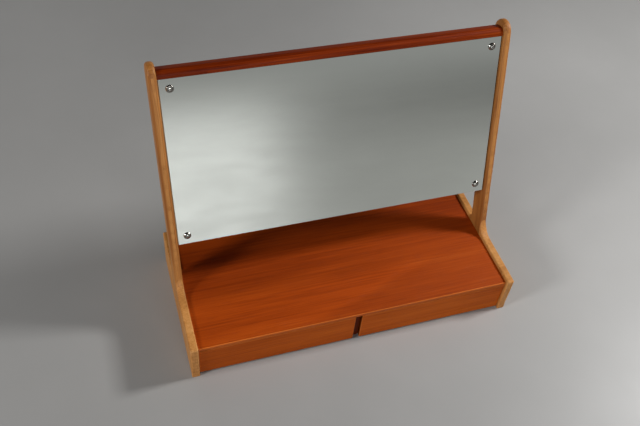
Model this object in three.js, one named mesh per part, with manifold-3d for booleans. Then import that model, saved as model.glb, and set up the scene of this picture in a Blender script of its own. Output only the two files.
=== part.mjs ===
// A mirror that stands on a chest or shelf, with two drawers below the glass.
// Two side boards each make one side of a low case and one post that leans back. Between the
// posts are a rail, a backing board and the glass; between the sides are the case and its drawers.
//
// Millimetres. X runs to the viewer's right, Y to the back and Z up. The model is built with y = 0
// at the side boards' front edges, then moved so that the origin is under the middle of its box.

import * as THREE from 'three';
import { mergeVertices } from 'three/addons/utils/BufferGeometryUtils.js';
import Module from 'manifold-3d';

const wasm = await Module();
wasm.setup();

// ---------------------------------------------------------------- driving dimensions

const WIDTH = 700;               // over the two side boards
const BOARD = 16;                // thickness of a side board
const BASE_HEIGHT = 97;          // side board, floor to its top edge
const BASE_DEPTH = 310;          // side board, front edge to rear edge
const LEAN = THREE.MathUtils.degToRad(16);   // of the posts, backwards from upright
const POST_FOOT = 148;           // where the post's front line meets the top edge, from the front
const POST_DEPTH = 43;           // square to its length
const POST_LENGTH = 484;         // from the top edge to the crown, along the front line
const POST_FILLET = 37;          // between the post's front and the top edge
const CORNER = 4;                // outer corners of the base
const NOTCH = 8;                 // inner corner behind the post
const EASE = 2;                  // lower corners of the base

const GAP = 0.3;                 // air between pieces that touch
const SLIDE_GAP = 0.8;           // air beside a drawer front

const TOP_DROP = 7;              // case top, below the side boards' top edge
const TOP_THICKNESS = 8;
const FRONT_SETBACK = 6;         // case top and drawer fronts, behind the side boards' front edges
const CASE_REAR = 304;           // rear face of the case, from the side boards' front edges
const BOTTOM_UNDERSIDE = 7;      // above the floor
const THIN_BOARD = 6;            // bottom board and back board
const GROOVE = 4;                // depth of the grooves in the side boards
const DIVIDER = 13;              // thickness
const DIVIDER_SETBACK = 8.5;     // behind the drawer fronts
const DIVIDER_FOOT = 1.5;        // its front edge, above the floor

const DRAWER_GAP = 14;           // between the two drawer fronts
const FRONT_THICKNESS = 15;
const FRONT_BOTTOM = 4;          // above the floor
const FRONT_TOP_GAP = 1.5;       // under the case top
const FRONT_END_ROUND = 1.5;     // inner upright edges, where fingers reach in
const DRAWER_DEPTH = 279;        // front face to rear face
const DRAWER_SIDE = 9;           // sides and back
const DRAWER_SIDE_TOP = 72;      // above the floor
const DRAWER_CLEARANCE = 1.5;    // beside a drawer box
const PANEL = 4;                 // drawer bottom
const PANEL_RISE = 4;            // of that bottom above the sides' lower edges
const PANEL_GROOVE = 4.5;
const BACK_HOUSING = 3;          // of the drawer back, in the sides
const BACK_INSET = 6;            // of the drawer back, from the sides' rear ends
const BACK_DROP = 4;             // of the drawer back, below the sides' top edges
const TAIL_LENGTH = 10;          // dovetails of a drawer side, in the front
const TAILS = 2;
const TAIL_ROOT = 0.44;          // width at the front's rear face, as a share of the pitch
const TAIL_TIP = 0.64;           // width at the tip, the same way
const STOP_WIDTH = 40;           // block behind each drawer
const STOP_HEIGHT = 14;

const GLASS_WIDTH = 665;
const GLASS_HEIGHT = 350;
const GLASS_THICKNESS = 5;
const GLASS_FOOT = 106;          // lower edge, up the post from its foot
const GLASS_SETBACK = 7;         // front face, behind the post's front line
const SCREW_INSET = 19;          // from the glass's edges
const BACKING_THICKNESS = 12;
const BACKING_INSET = 3;         // lower edge, above the glass's lower edge

const RAIL_HEIGHT = 16;
const RAIL_DEPTH = 24;
const RAIL_SETBACK = 5;
const RAIL_ROUND = 11;           // upper front edge
const RAIL_EASE = 1.5;           // its other edges

const WASHER_RADIUS = 7.5;
const WASHER_HEIGHT = 2.6;
const WASHER_WALL = 0.8;
const WASHER_EDGE = 0.3;         // lean of its outer edge
const WASHER_LIP = 0.65;         // rounding of the lip round the screw's head
const HEAD_RADIUS = 4.3;
const HEAD_CROWN = 1.4;          // its raised middle, above its edge
const SHANK_RADIUS = 1.9;
const SCREW_POINT = 3;           // length of the taper at its tip
const MIRROR_SCREW = 16;         // below the washer
const SLOT_WIDTH = 1.1;
const SLOT_DEPTH = 1.1;

const DOWEL_RADIUS = 2.5;
const DOWEL_IN_BOARD = 10;       // in a side board's face
const DOWEL_IN_END = 18;         // in the other piece's end
const DIVIDER_DOWEL_UP = 5;      // in the case top
const DIVIDER_SCREW = 24;        // countersunk, up into the divider
const DIVIDER_PITCH = 20;        // from each of those screws back to a dowel
const RAIL_DOWEL_UP = 7;         // above the rail's underside
const FACETS = 14;               // round a dowel, a hole or a shank

// ---------------------------------------------------------------- places worked out from them

const HALF = WIDTH / 2;
const INNER = HALF - BOARD;                       // inner face of a side board
const CROWN = POST_DEPTH / 2 - 0.01;              // half-round end of a post
const TOP_SURFACE = BASE_HEIGHT - TOP_DROP;
const TOP_UNDERSIDE = TOP_SURFACE - TOP_THICKNESS;
const BOTTOM_SURFACE = BOTTOM_UNDERSIDE + THIN_BOARD;
const BACK_FACE = CASE_REAR - THIN_BOARD;         // front face of the back board
const FRONT_REAR = FRONT_SETBACK + FRONT_THICKNESS;
const BOTTOM_FRONT = FRONT_REAR + 1;              // front edge of the bottom board
const DRAWER_REAR = FRONT_SETBACK + DRAWER_DEPTH;
const TOTAL_DEPTH = POST_FOOT + (POST_LENGTH - POST_DEPTH / 2) * Math.sin(LEAN)
  + (1 + Math.cos(LEAN)) * POST_DEPTH / 2;
const GLASS_TOP = GLASS_FOOT + GLASS_HEIGHT;
const BACKING_FACE = GLASS_SETBACK + GLASS_THICKNESS + GAP;
const RAIL_FOOT = GLASS_TOP + GAP;
const HEAD_SEAT = WASHER_HEIGHT - WASHER_LIP / 2;      // edge of a mirror screw's head, above the glass

// ---------------------------------------------------------------- finishes

const finish = (color, roughness, metalness = 0) => ({ color, roughness, metalness });
const OAK = finish(0xc48e58, 0.5);
const TEAK = finish(0x8c3a14, 0.42);
const TEAK_DARK = finish(0x6a2410, 0.45);
const BEECH = finish(0xd8b48a, 0.6);
const PLY = finish(0xc9a273, 0.7);
const MIRROR = finish(0xc9cdc8, 0.04, 1);
const CHROME = finish(0xc8c8c8, 0.18, 1);
const STEEL = finish(0xa8a8a4, 0.35, 1);

// ---------------------------------------------------------------- solids

/** Manifold solid of a closed geometry, its shared vertices merged. */
function solidOf(geometry) {
  const bare = geometry.index ? geometry.toNonIndexed() : geometry.clone();
  bare.deleteAttribute('normal');
  bare.deleteAttribute('uv');
  const merged = mergeVertices(bare, 1e-4);
  return new wasm.Manifold(new wasm.Mesh({
    numProp: 3,
    vertProperties: new Float32Array(merged.attributes.position.array),
    triVerts: new Uint32Array(merged.index.array),
  }));
}

/** Geometry of a Manifold solid, with flat faces. */
function geometryOf(solid) {
  const mesh = solid.getMesh();
  const geometry = new THREE.BufferGeometry();
  geometry.setAttribute('position', new THREE.BufferAttribute(mesh.vertProperties, 3));
  geometry.setIndex(new THREE.BufferAttribute(mesh.triVerts, 1));
  return geometry;
}

/** The geometry with each of the cutters taken out of it. */
function cut(geometry, cutters) {
  let solid = solidOf(geometry);
  for (const cutter of cutters) solid = solid.subtract(solidOf(cutter));
  return geometryOf(solid);
}

/** Box between two corners. */
function box(x0, y0, z0, x1, y1, z1) {
  const geometry = new THREE.BoxGeometry(x1 - x0, y1 - y0, z1 - z0);
  return geometry.translate((x0 + x1) / 2, (y0 + y1) / 2, (z0 + z1) / 2);
}

/** Cylinder along X between x0 and x1, in either order. */
function rodX(radius, x0, x1, y, z, sides = FACETS) {
  const geometry = new THREE.CylinderGeometry(radius, radius, Math.abs(x1 - x0), sides);
  return geometry.rotateZ(Math.PI / 2).translate((x0 + x1) / 2, y, z);
}

/** Cylinder along Y between y0 and y1. */
function rodY(radius, x, y0, y1, z, sides = FACETS) {
  const geometry = new THREE.CylinderGeometry(radius, radius, y1 - y0, sides);
  return geometry.translate(x, (y0 + y1) / 2, z);
}

/** Cylinder along Z between z0 and z1. */
function rodZ(radius, x, y, z0, z1, sides = FACETS) {
  const geometry = new THREE.CylinderGeometry(radius, radius, z1 - z0, sides);
  return geometry.rotateX(Math.PI / 2).translate(x, y, (z0 + z1) / 2);
}

/**
 * Shape of a closed outline whose corners [a, b, radius] are rounded by arcs.
 * At each corner the arc touches both edges, radius / tan(half the corner's angle) away from it.
 */
function roundedOutline(corners) {
  const shape = new THREE.Shape();
  const last = corners.length - 1;
  corners.forEach(([a, b, radius], i) => {
    const here = new THREE.Vector2(a, b);
    const [pa, pb] = corners[i === 0 ? last : i - 1];
    const [na, nb] = corners[i === last ? 0 : i + 1];
    const back = new THREE.Vector2(pa, pb).sub(here).normalize();
    const on = new THREE.Vector2(na, nb).sub(here).normalize();
    if (!radius) {
      if (i === 0) shape.moveTo(a, b); else shape.lineTo(a, b);
      return;
    }
    const half = Math.acos(back.dot(on)) / 2;
    const centre = back.clone().add(on).normalize().multiplyScalar(radius / Math.sin(half)).add(here);
    const touch = radius / Math.tan(half);
    const start = back.multiplyScalar(touch).add(here);
    const end = on.multiplyScalar(touch).add(here);
    const clockwise = (start.x - here.x) * (end.y - here.y) - (start.y - here.y) * (end.x - here.x) > 0;
    if (i === 0) shape.moveTo(start.x, start.y);
    shape.absarc(centre.x, centre.y, radius,
      Math.atan2(start.y - centre.y, start.x - centre.x),
      Math.atan2(end.y - centre.y, end.x - centre.x), clockwise);
  });
  shape.closePath();
  return shape;
}

/** Extrude of an outline in the (y, z) plane from x0 to x1. */
function extrudeX(shape, x0, x1, curveSegments = 10) {
  const geometry = new THREE.ExtrudeGeometry(shape, {
    depth: x1 - x0, bevelEnabled: false, steps: 1, curveSegments,
  });
  const turn = new THREE.Matrix4().makeBasis(
    new THREE.Vector3(0, 1, 0), new THREE.Vector3(0, 0, 1), new THREE.Vector3(1, 0, 0));
  return geometry.applyMatrix4(turn).translate(x0, 0, 0);
}

/** Extrude of an outline in the (x, y) plane from z0 to z1. */
function extrudeZ(shape, z0, z1, curveSegments = 6) {
  const geometry = new THREE.ExtrudeGeometry(shape, {
    depth: z1 - z0, bevelEnabled: false, steps: 1, curveSegments,
  });
  return geometry.translate(0, 0, z0);
}

/** Named mesh of a geometry in one finish. */
function piece(name, geometry, surface) {
  const mesh = new THREE.Mesh(geometry, new THREE.MeshStandardMaterial(surface));
  mesh.name = name;
  return mesh;
}

const SIDES = [['left', -1], ['right', 1]];

// ---------------------------------------------------------------- posts' own directions

/** A point up the post and behind its front line, as case coordinates (y, z). */
function onPost(up, behind) {
  return [
    POST_FOOT + up * Math.sin(LEAN) + behind * Math.cos(LEAN),
    BASE_HEIGHT + up * Math.cos(LEAN) - behind * Math.sin(LEAN),
  ];
}

// Between the posts, y is square to the glass and z runs up it.
const leaning = new THREE.Group();
leaning.position.set(0, POST_FOOT, BASE_HEIGHT);
leaning.rotation.x = -LEAN;

// ---------------------------------------------------------------- dowels

// Places (y, z). Those of the rail and the backing board are in the posts' own directions.
const railDowels = [9, 18].map((inward) => [RAIL_SETBACK + inward, RAIL_FOOT + RAIL_DOWEL_UP]);
const backingDowels = [160, 400].map((up) => [BACKING_FACE + BACKING_THICKNESS / 2, up]);
const topDowels = [40, 120, 250].map((y) => [y, TOP_SURFACE - TOP_THICKNESS / 2]);
const dividerPlaces = [60, 160, 260];             // y of the screws, each with a dowel behind it

/** A dowel that joins a side board's inner face to the end of another piece. */
function endDowel(side, [y, z]) {
  return rodX(DOWEL_RADIUS, side * (INNER + DOWEL_IN_BOARD), side * (INNER - DOWEL_IN_END), y, z);
}

/** Cutters for such dowels in both ends of a piece that fits between the side boards. */
function endHoles(places) {
  return SIDES.flatMap(([, side]) => places.map(([y, z]) => rodX(
    DOWEL_RADIUS + GAP, side * (INNER + 1), side * (INNER - DOWEL_IN_END - GAP), y, z)));
}

// ---------------------------------------------------------------- side boards

function sideBoardOutline() {
  const notchBehind = POST_DEPTH / Math.cos(LEAN);
  return roundedOutline([
    [0, 0, EASE],
    [BASE_DEPTH, 0, EASE],
    [BASE_DEPTH, BASE_HEIGHT, CORNER],
    [POST_FOOT + notchBehind, BASE_HEIGHT, NOTCH],
    [...onPost(POST_LENGTH, POST_DEPTH), CROWN],
    [...onPost(POST_LENGTH, 0), CROWN],
    [POST_FOOT, BASE_HEIGHT, POST_FILLET],
    [0, BASE_HEIGHT, CORNER],
  ]);
}

function sideBoard(side) {
  const outer = side * HALF;
  const inner = side * INNER;
  const [x0, x1] = side < 0 ? [outer, inner] : [inner, outer];
  const board = extrudeX(sideBoardOutline(), x0, x1, 14);

  // Holes and grooves are cut from the inner face outwards.
  const reach = (depth) => (side < 0 ? [inner - depth, inner + 1] : [inner - 1, inner + depth]);
  const [h0, h1] = reach(DOWEL_IN_BOARD + GAP);
  const [g0, g1] = reach(GROOVE);
  const hole = ([y, z]) => rodX(DOWEL_RADIUS + GAP, h0, h1, y, z);
  const postHoles = [...railDowels, ...backingDowels].map(([behind, up]) => hole(onPost(up, behind)));
  const bottomGroove = box(g0, BOTTOM_FRONT - GAP, BOTTOM_UNDERSIDE - GAP,
    g1, CASE_REAR + GAP, BOTTOM_SURFACE + GAP);
  const backGroove = box(g0, BACK_FACE - GAP, BOTTOM_UNDERSIDE - GAP,
    g1, CASE_REAR + GAP, TOP_UNDERSIDE);
  return cut(board, [...postHoles, ...topDowels.map(hole), bottomGroove, backGroove]);
}

// ---------------------------------------------------------------- case

function topBoard() {
  const board = box(-INNER + GAP, FRONT_SETBACK, TOP_UNDERSIDE, INNER - GAP, CASE_REAR, TOP_SURFACE);
  const dividerHoles = dividerPlaces.map((y) => rodZ(DOWEL_RADIUS + GAP, 0, y + DIVIDER_PITCH,
    TOP_UNDERSIDE - 1, TOP_UNDERSIDE + DIVIDER_DOWEL_UP + GAP));
  return cut(board, [...endHoles(topDowels), ...dividerHoles]);
}

function bottomBoard() {
  const edge = INNER + GROOVE - GAP;
  const board = box(-edge, BOTTOM_FRONT, BOTTOM_UNDERSIDE, edge, BACK_FACE - GAP, BOTTOM_SURFACE);
  const holes = dividerPlaces.flatMap((y) => [
    rodZ(SHANK_RADIUS + GAP, 0, y, BOTTOM_UNDERSIDE - 1, BOTTOM_SURFACE + 1),
    countersink(y, GAP),
  ]);
  return cut(board, holes);
}

/** Cone of a countersunk head in the bottom board's underside, grown all round. */
function countersink(y, grow) {
  const depth = HEAD_RADIUS - SHANK_RADIUS;
  const profile = [
    [0, -1], [HEAD_RADIUS + grow, -1], [HEAD_RADIUS + grow, grow / 2],
    [SHANK_RADIUS + grow, depth + grow / 2], [0, depth + grow / 2],
  ].map(([r, h]) => new THREE.Vector2(r, h));
  const geometry = new THREE.LatheGeometry(profile, FACETS);
  return geometry.rotateX(Math.PI / 2).translate(0, y, BOTTOM_UNDERSIDE);
}

function backBoard() {
  const edge = INNER + GROOVE - GAP;
  return box(-edge, BACK_FACE, BOTTOM_UNDERSIDE, edge, CASE_REAR, TOP_UNDERSIDE - GAP);
}

/** Upright board between the drawers. Its front edge comes down past the bottom board's edge. */
function divider() {
  const front = FRONT_SETBACK + DIVIDER_SETBACK;
  const outline = roundedOutline([
    [front, DIVIDER_FOOT, 0],
    [BOTTOM_FRONT - GAP, DIVIDER_FOOT, 0],
    [BOTTOM_FRONT - GAP, BOTTOM_SURFACE + GAP, 0],
    [BACK_FACE - GAP, BOTTOM_SURFACE + GAP, 0],
    [BACK_FACE - GAP, TOP_UNDERSIDE - GAP, 0],
    [front, TOP_UNDERSIDE - GAP, 0],
  ]);
  const board = extrudeX(outline, -DIVIDER / 2, DIVIDER / 2);
  const dowelHoles = dividerPlaces.map((y) => rodZ(DOWEL_RADIUS + GAP, 0, y + DIVIDER_PITCH,
    TOP_UNDERSIDE - DOWEL_IN_END - GAP, TOP_UNDERSIDE + 1));
  const screwHoles = dividerPlaces.map((y) => rodZ(SHANK_RADIUS + GAP, 0, y,
    BOTTOM_SURFACE - 1, BOTTOM_UNDERSIDE + DIVIDER_SCREW + GAP));
  return cut(board, [...dowelHoles, ...screwHoles]);
}

function dividerScrew(y) {
  const depth = HEAD_RADIUS - SHANK_RADIUS;
  const profile = [
    [0, 0], [HEAD_RADIUS, 0], [SHANK_RADIUS, depth],
    [SHANK_RADIUS, DIVIDER_SCREW - SCREW_POINT], [0, DIVIDER_SCREW],
  ].map(([r, h]) => new THREE.Vector2(r, h));
  const geometry = new THREE.LatheGeometry(profile, FACETS);
  geometry.rotateX(Math.PI / 2).translate(0, y, BOTTOM_UNDERSIDE);
  const slot = box(-SLOT_WIDTH / 2, y - HEAD_RADIUS - 1, BOTTOM_UNDERSIDE - 1,
    SLOT_WIDTH / 2, y + HEAD_RADIUS + 1, BOTTOM_UNDERSIDE + SLOT_DEPTH);
  return cut(geometry, [slot]);
}

function stopBlock(side) {
  const middle = side * (INNER + DIVIDER / 2) / 2;
  return box(middle - STOP_WIDTH / 2, DRAWER_REAR + GAP, BOTTOM_SURFACE + GAP,
    middle + STOP_WIDTH / 2, BACK_FACE - GAP, BOTTOM_SURFACE + STOP_HEIGHT);
}

// ---------------------------------------------------------------- drawers

// A drawer is drawn for the right-hand side, and mirrored in X for the left-hand one.
const FRONT_INNER = DRAWER_GAP / 2;
const FRONT_OUTER = INNER - SLIDE_GAP;
const FRONT_TOP = TOP_UNDERSIDE - FRONT_TOP_GAP;
const BOX_INNER = FRONT_INNER + DRAWER_CLEARANCE;      // outer faces of the two drawer sides
const BOX_OUTER = INNER - DRAWER_CLEARANCE;
const SIDE_BOTTOM = BOTTOM_SURFACE + GAP;
const PANEL_BOTTOM = SIDE_BOTTOM + PANEL_RISE;
const PANEL_TOP = PANEL_BOTTOM + PANEL;
const BACK_REAR = DRAWER_REAR - BACK_INSET;

/** Outline (y, z) of one dovetail on a drawer side's front end, grown all round. */
function tailOutline(index, grow) {
  const pitch = (DRAWER_SIDE_TOP - PANEL_TOP) / TAILS;
  const middle = PANEL_TOP + (index + 0.5) * pitch;
  const narrow = (pitch * TAIL_ROOT) / 2 + grow;
  const wide = (pitch * TAIL_TIP) / 2 + grow;
  const tip = FRONT_REAR - TAIL_LENGTH - grow;
  const outline = new THREE.Shape();
  outline.moveTo(FRONT_REAR + 1, middle - narrow);
  outline.lineTo(FRONT_REAR + 1, middle + narrow);
  outline.lineTo(tip, middle + wide);
  outline.lineTo(tip, middle - wide);
  outline.closePath();
  return outline;
}

function drawerSide(x0, x1, grooveAtHighX) {
  let solid = solidOf(box(x0, FRONT_REAR + GAP, SIDE_BOTTOM, x1, DRAWER_REAR, DRAWER_SIDE_TOP));
  for (let i = 0; i < TAILS; i += 1) {
    solid = solid.add(solidOf(extrudeX(tailOutline(i, 0), x0, x1)));
  }
  const [g0, g1] = grooveAtHighX ? [x1 - PANEL_GROOVE, x1 + 1] : [x0 - 1, x0 + PANEL_GROOVE];
  const [d0, d1] = grooveAtHighX ? [x1 - BACK_HOUSING, x1 + 1] : [x0 - 1, x0 + BACK_HOUSING];
  const groove = box(g0, FRONT_REAR - TAIL_LENGTH - 1, PANEL_BOTTOM - GAP,
    g1, DRAWER_REAR + 1, PANEL_TOP + GAP);
  const housing = box(d0, BACK_REAR - DRAWER_SIDE - GAP, PANEL_TOP,
    d1, BACK_REAR + GAP, DRAWER_SIDE_TOP + 1);
  return geometryOf(solid.subtract(solidOf(groove)).subtract(solidOf(housing)));
}

function drawerFront() {
  const outline = roundedOutline([
    [FRONT_INNER, FRONT_SETBACK, FRONT_END_ROUND],
    [FRONT_OUTER, FRONT_SETBACK, 0],
    [FRONT_OUTER, FRONT_REAR, 0],
    [FRONT_INNER, FRONT_REAR, 0],
  ]);
  const board = extrudeZ(outline, FRONT_BOTTOM, FRONT_TOP);
  const sockets = [];
  for (let i = 0; i < TAILS; i += 1) {
    const socket = tailOutline(i, GAP);
    sockets.push(extrudeX(socket, BOX_INNER - GAP, BOX_INNER + DRAWER_SIDE + GAP));
    sockets.push(extrudeX(socket, BOX_OUTER - DRAWER_SIDE - GAP, BOX_OUTER + GAP));
  }
  const groove = box(BOX_INNER + PANEL_GROOVE, FRONT_REAR - PANEL_GROOVE, PANEL_BOTTOM - GAP,
    BOX_OUTER - PANEL_GROOVE, FRONT_REAR + 1, PANEL_TOP + GAP);
  return cut(board, [...sockets, groove]);
}

function drawerBack() {
  const tuck = DRAWER_SIDE - BACK_HOUSING + GAP;
  return box(BOX_INNER + tuck, BACK_REAR - DRAWER_SIDE, PANEL_TOP + GAP,
    BOX_OUTER - tuck, BACK_REAR, DRAWER_SIDE_TOP - BACK_DROP);
}

function drawerPanel() {
  const tuck = DRAWER_SIDE - PANEL_GROOVE + GAP;
  return box(BOX_INNER + tuck, FRONT_REAR - PANEL_GROOVE + GAP, PANEL_BOTTOM,
    BOX_OUTER - tuck, DRAWER_REAR - 2, PANEL_TOP);
}

/** The five pieces of one drawer. The left one is the right one seen in a looking glass. */
function drawer(name, side) {
  const group = new THREE.Group();
  const parts = [
    ['front', drawerFront(), TEAK],
    ['inner_side', drawerSide(BOX_INNER, BOX_INNER + DRAWER_SIDE, true), BEECH],
    ['outer_side', drawerSide(BOX_OUTER - DRAWER_SIDE, BOX_OUTER, false), BEECH],
    ['back', drawerBack(), BEECH],
    ['bottom', drawerPanel(), PLY],
  ];
  for (const [part, geometry, surface] of parts) {
    const shape = side > 0 ? geometry : mirroredX(geometry);
    group.add(piece(`${name}_drawer_${part}`, shape, surface));
  }
  return group;
}

/** The geometry mirrored in X, with its faces turned to point outwards again. */
function mirroredX(geometry) {
  const flat = geometry.index ? geometry.toNonIndexed() : geometry.clone();
  const position = flat.attributes.position;
  for (let i = 0; i < position.count; i += 3) {
    const [a, b, c] = [0, 1, 2].map((k) => new THREE.Vector3().fromBufferAttribute(position, i + k));
    [a, c, b].forEach((p, k) => position.setXYZ(i + k, -p.x, p.y, p.z));
  }
  flat.deleteAttribute('normal');
  flat.deleteAttribute('uv');
  return mergeVertices(flat, 1e-4);
}

// ---------------------------------------------------------------- rail, backing board and glass

const screwPlaces = [
  ['top_left', -1, GLASS_TOP - SCREW_INSET],
  ['top_right', 1, GLASS_TOP - SCREW_INSET],
  ['bottom_left', -1, GLASS_FOOT + SCREW_INSET],
  ['bottom_right', 1, GLASS_FOOT + SCREW_INSET],
].map(([name, side, z]) => [name, side * (GLASS_WIDTH / 2 - SCREW_INSET), z]);

function topRail() {
  const front = RAIL_SETBACK;
  const rear = RAIL_SETBACK + RAIL_DEPTH;
  const outline = roundedOutline([
    [front, RAIL_FOOT, RAIL_EASE],
    [rear, RAIL_FOOT, RAIL_EASE],
    [rear, RAIL_FOOT + RAIL_HEIGHT, RAIL_EASE],
    [front, RAIL_FOOT + RAIL_HEIGHT, RAIL_ROUND],
  ]);
  return cut(extrudeX(outline, -INNER + GAP, INNER - GAP), endHoles(railDowels));
}

function backing() {
  const board = box(-INNER + GAP, BACKING_FACE, GLASS_FOOT + BACKING_INSET,
    INNER - GAP, BACKING_FACE + BACKING_THICKNESS, GLASS_TOP);
  const pilots = screwPlaces.map(([, x, z]) => rodY(SHANK_RADIUS + GAP, x,
    BACKING_FACE - 1, GLASS_SETBACK - GAP + MIRROR_SCREW + GAP, z));
  return cut(board, [...endHoles(backingDowels), ...pilots]);
}

function glass() {
  const sheet = box(-GLASS_WIDTH / 2, GLASS_SETBACK, GLASS_FOOT,
    GLASS_WIDTH / 2, GLASS_SETBACK + GLASS_THICKNESS, GLASS_TOP);
  return cut(sheet, screwPlaces.map(([, x, z]) => rodY(SHANK_RADIUS + 1, x,
    GLASS_SETBACK - 1, GLASS_SETBACK + GLASS_THICKNESS + 1, z)));
}

/** Lathe of (radius, height) points about an axis square to the glass, heights towards the viewer. */
function latheToViewer(points, x, z, segments = 20) {
  const profile = points.map(([r, h]) => new THREE.Vector2(r, h));
  const geometry = new THREE.LatheGeometry(profile, segments);
  return geometry.rotateX(Math.PI).translate(x, GLASS_SETBACK - GAP, z);
}

function cupWasher(x, z) {
  const lip = HEAD_RADIUS + GAP;
  const hole = SHANK_RADIUS + GAP;
  return latheToViewer([
    [hole, 0], [WASHER_RADIUS, 0], [WASHER_RADIUS - WASHER_EDGE, WASHER_WALL],
    [lip + 2 * WASHER_LIP, WASHER_HEIGHT - WASHER_LIP], [lip + WASHER_LIP, WASHER_HEIGHT],
    [lip, HEAD_SEAT], [hole, WASHER_WALL], [hole, 0],
  ], x, z);
}

function mirrorScrew(x, z) {
  const screw = latheToViewer([
    [0, -MIRROR_SCREW], [SHANK_RADIUS, SCREW_POINT - MIRROR_SCREW], [SHANK_RADIUS, WASHER_WALL + GAP / 2],
    [HEAD_RADIUS, HEAD_SEAT], [HEAD_RADIUS * 0.8, HEAD_SEAT + HEAD_CROWN * 0.6],
    [HEAD_RADIUS * 0.45, HEAD_SEAT + HEAD_CROWN * 0.9], [0, HEAD_SEAT + HEAD_CROWN],
  ], x, z);
  const crown = GLASS_SETBACK - GAP - HEAD_SEAT - HEAD_CROWN;
  const slot = box(x - HEAD_RADIUS - 1, crown - 1, z - SLOT_WIDTH / 2,
    x + HEAD_RADIUS + 1, crown + SLOT_DEPTH, z + SLOT_WIDTH / 2);
  return cut(screw, [slot]);
}

// ---------------------------------------------------------------- the whole

const mirror = new THREE.Group();
mirror.position.y = -TOTAL_DEPTH / 2;

for (const [name, side] of SIDES) {
  mirror.add(piece(`${name}_side_board`, sideBoard(side), OAK));
  mirror.add(drawer(name, side));
  mirror.add(piece(`${name}_drawer_stop`, stopBlock(side), BEECH));
  for (const [group, joint, places] of [
    [mirror, 'top', topDowels], [leaning, 'rail', railDowels], [leaning, 'backing', backingDowels],
  ]) {
    places.forEach((place, i) => {
      group.add(piece(`${name}_${joint}_dowel_${i + 1}`, endDowel(side, place), BEECH));
    });
  }
}

mirror.add(piece('top_board', topBoard(), TEAK));
mirror.add(piece('bottom_board', bottomBoard(), PLY));
mirror.add(piece('back_board', backBoard(), PLY));
mirror.add(piece('centre_divider', divider(), TEAK_DARK));
dividerPlaces.forEach((y, i) => {
  mirror.add(piece(`divider_screw_${i + 1}`, dividerScrew(y), STEEL));
  mirror.add(piece(`divider_dowel_${i + 1}`, rodZ(DOWEL_RADIUS, 0, y + DIVIDER_PITCH,
    TOP_UNDERSIDE - DOWEL_IN_END, TOP_UNDERSIDE + DIVIDER_DOWEL_UP), BEECH));
});

leaning.add(piece('top_rail', topRail(), TEAK));
leaning.add(piece('mirror_backing', backing(), PLY));
leaning.add(piece('mirror_glass', glass(), MIRROR));
for (const [name, x, z] of screwPlaces) {
  leaning.add(piece(`cup_washer_${name}`, cupWasher(x, z), CHROME));
  leaning.add(piece(`mirror_screw_${name}`, mirrorScrew(x, z), CHROME));
}
mirror.add(leaning);

export default mirror;
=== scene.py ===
# %% [markdown]
# # A mirror with two drawers, to stand on a chest or a shelf
#
# The CAD frame comes first. It holds every piece at its true size and place, and says which
# pieces slide with which drawer. Everything made below is laid over it in metres: X to the
# viewer's right, Y to the back, Z up, and the origin on the floor under the middle of the piece.

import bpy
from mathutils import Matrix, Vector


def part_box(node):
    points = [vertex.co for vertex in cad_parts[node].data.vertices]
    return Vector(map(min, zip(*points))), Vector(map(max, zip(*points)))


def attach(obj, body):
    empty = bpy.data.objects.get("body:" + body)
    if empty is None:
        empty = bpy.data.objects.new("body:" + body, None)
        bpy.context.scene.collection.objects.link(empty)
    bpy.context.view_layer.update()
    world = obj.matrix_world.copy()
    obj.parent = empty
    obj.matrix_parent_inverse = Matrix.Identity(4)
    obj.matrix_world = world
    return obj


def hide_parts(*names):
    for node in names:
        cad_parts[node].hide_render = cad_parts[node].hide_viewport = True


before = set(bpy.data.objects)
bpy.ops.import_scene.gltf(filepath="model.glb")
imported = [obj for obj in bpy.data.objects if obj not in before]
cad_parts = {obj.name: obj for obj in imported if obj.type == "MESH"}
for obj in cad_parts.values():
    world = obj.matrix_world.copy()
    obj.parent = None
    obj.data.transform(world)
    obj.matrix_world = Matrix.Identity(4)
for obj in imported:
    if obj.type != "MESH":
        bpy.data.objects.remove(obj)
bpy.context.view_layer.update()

# %% Libraries and units
import math

import bpy
import numpy as np
from mathutils import Matrix, Vector

MM = 0.001
rng = np.random.default_rng(1962)

# %% [markdown]
# ## The camera
#
# The photograph looks down on the mirror from the front left, with the camera rolled a little. A
# constraint could aim it at a target, but three angles and a place say the same and leave nothing
# else in the scene. Depth of field stays off.

# %% Camera
CAMERA_PLACE = Vector((-0.4419, -0.9478, 1.3966))
CAMERA_TURN = math.radians(22.35)    # from straight ahead, towards the right
CAMERA_TILT = math.radians(48.26)    # below the horizon
CAMERA_ROLL = math.radians(6.82)
LENS, SENSOR = 43.43, 36    # mm, the sensor's width


def camera_axes(turn, tilt, roll):
    """Right, up and backward directions: level axes for the turn and tilt, then rolled."""
    ahead = Vector((math.sin(turn) * math.cos(tilt), math.cos(turn) * math.cos(tilt),
                    -math.sin(tilt)))
    level = Vector((math.cos(turn), -math.sin(turn), 0))
    over = level.cross(ahead)
    right = level * math.cos(roll) + over * math.sin(roll)
    return right, right.cross(ahead), -ahead


def add(name, data):
    """New object of some data, in the scene."""
    made = bpy.data.objects.new(name, data)
    bpy.context.scene.collection.objects.link(made)
    return made


lens = bpy.data.cameras.new("camera")
lens.lens, lens.sensor_width, lens.clip_start = LENS, SENSOR, 0.01
camera = add("camera", lens)
camera.matrix_world = Matrix.Translation(CAMERA_PLACE) @ Matrix(
    camera_axes(CAMERA_TURN, CAMERA_TILT, CAMERA_ROLL)).transposed().to_4x4()
bpy.context.scene.camera = camera
bpy.context.scene.view_settings.view_transform = "Standard"
print("camera", round((CAMERA_PLACE - Vector((0, 0, 0.2))).length, 2), "m from the mirror")

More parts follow.
